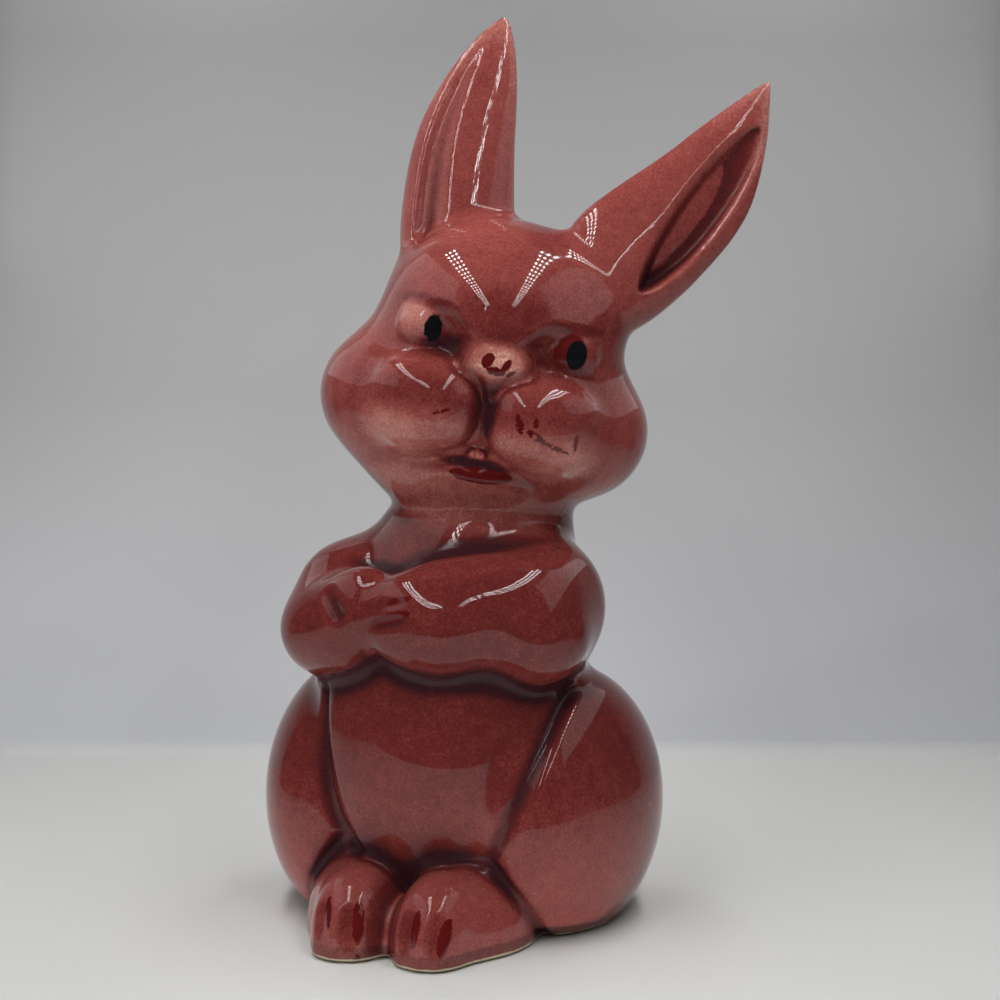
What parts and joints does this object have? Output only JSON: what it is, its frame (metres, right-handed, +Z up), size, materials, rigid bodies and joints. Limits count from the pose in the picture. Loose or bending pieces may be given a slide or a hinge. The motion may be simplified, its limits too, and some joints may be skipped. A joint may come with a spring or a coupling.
{
  "type": "bunny cotton ball holder",
  "caption": "Hollow glazed ceramic rabbit sitting upright that stores loose cotton balls; a ball pulled half out of the hole in its back forms the tail.",
  "frame": {"origin": "on the surface that the rabbit stands on, in the middle of its base, on the plane between its two haunches", "axes": "+Z up, the rabbit's body looks along -Y, +X is the rabbit's own left, and the tail hole opens along +Y"},
  "size_m": [0.107, 0.0881, 0.1894],
  "materials": {
    "glaze": "glossy translucent dusty maroon glaze over cream earthenware",
    "cotton": "soft bleached cotton wool"
  },
  "bodies": {
    "figure": {"body_casting": "glaze", "ear_left": "glaze", "ear_right": "glaze", "cotton_ball_1": "cotton", "cotton_ball_2": "cotton", "cotton_ball_3": "cotton", "cotton_ball_4": "cotton", "cotton_ball_5": "cotton"},
    "tail": {"tail_cotton_ball": "cotton"}
  },
  "joints": [
    {"name": "tail_pull", "type": "slide", "parent": "figure", "child": "tail", "axis": [0, 1, 0], "range_m": [0, 0.06]}
  ]
}
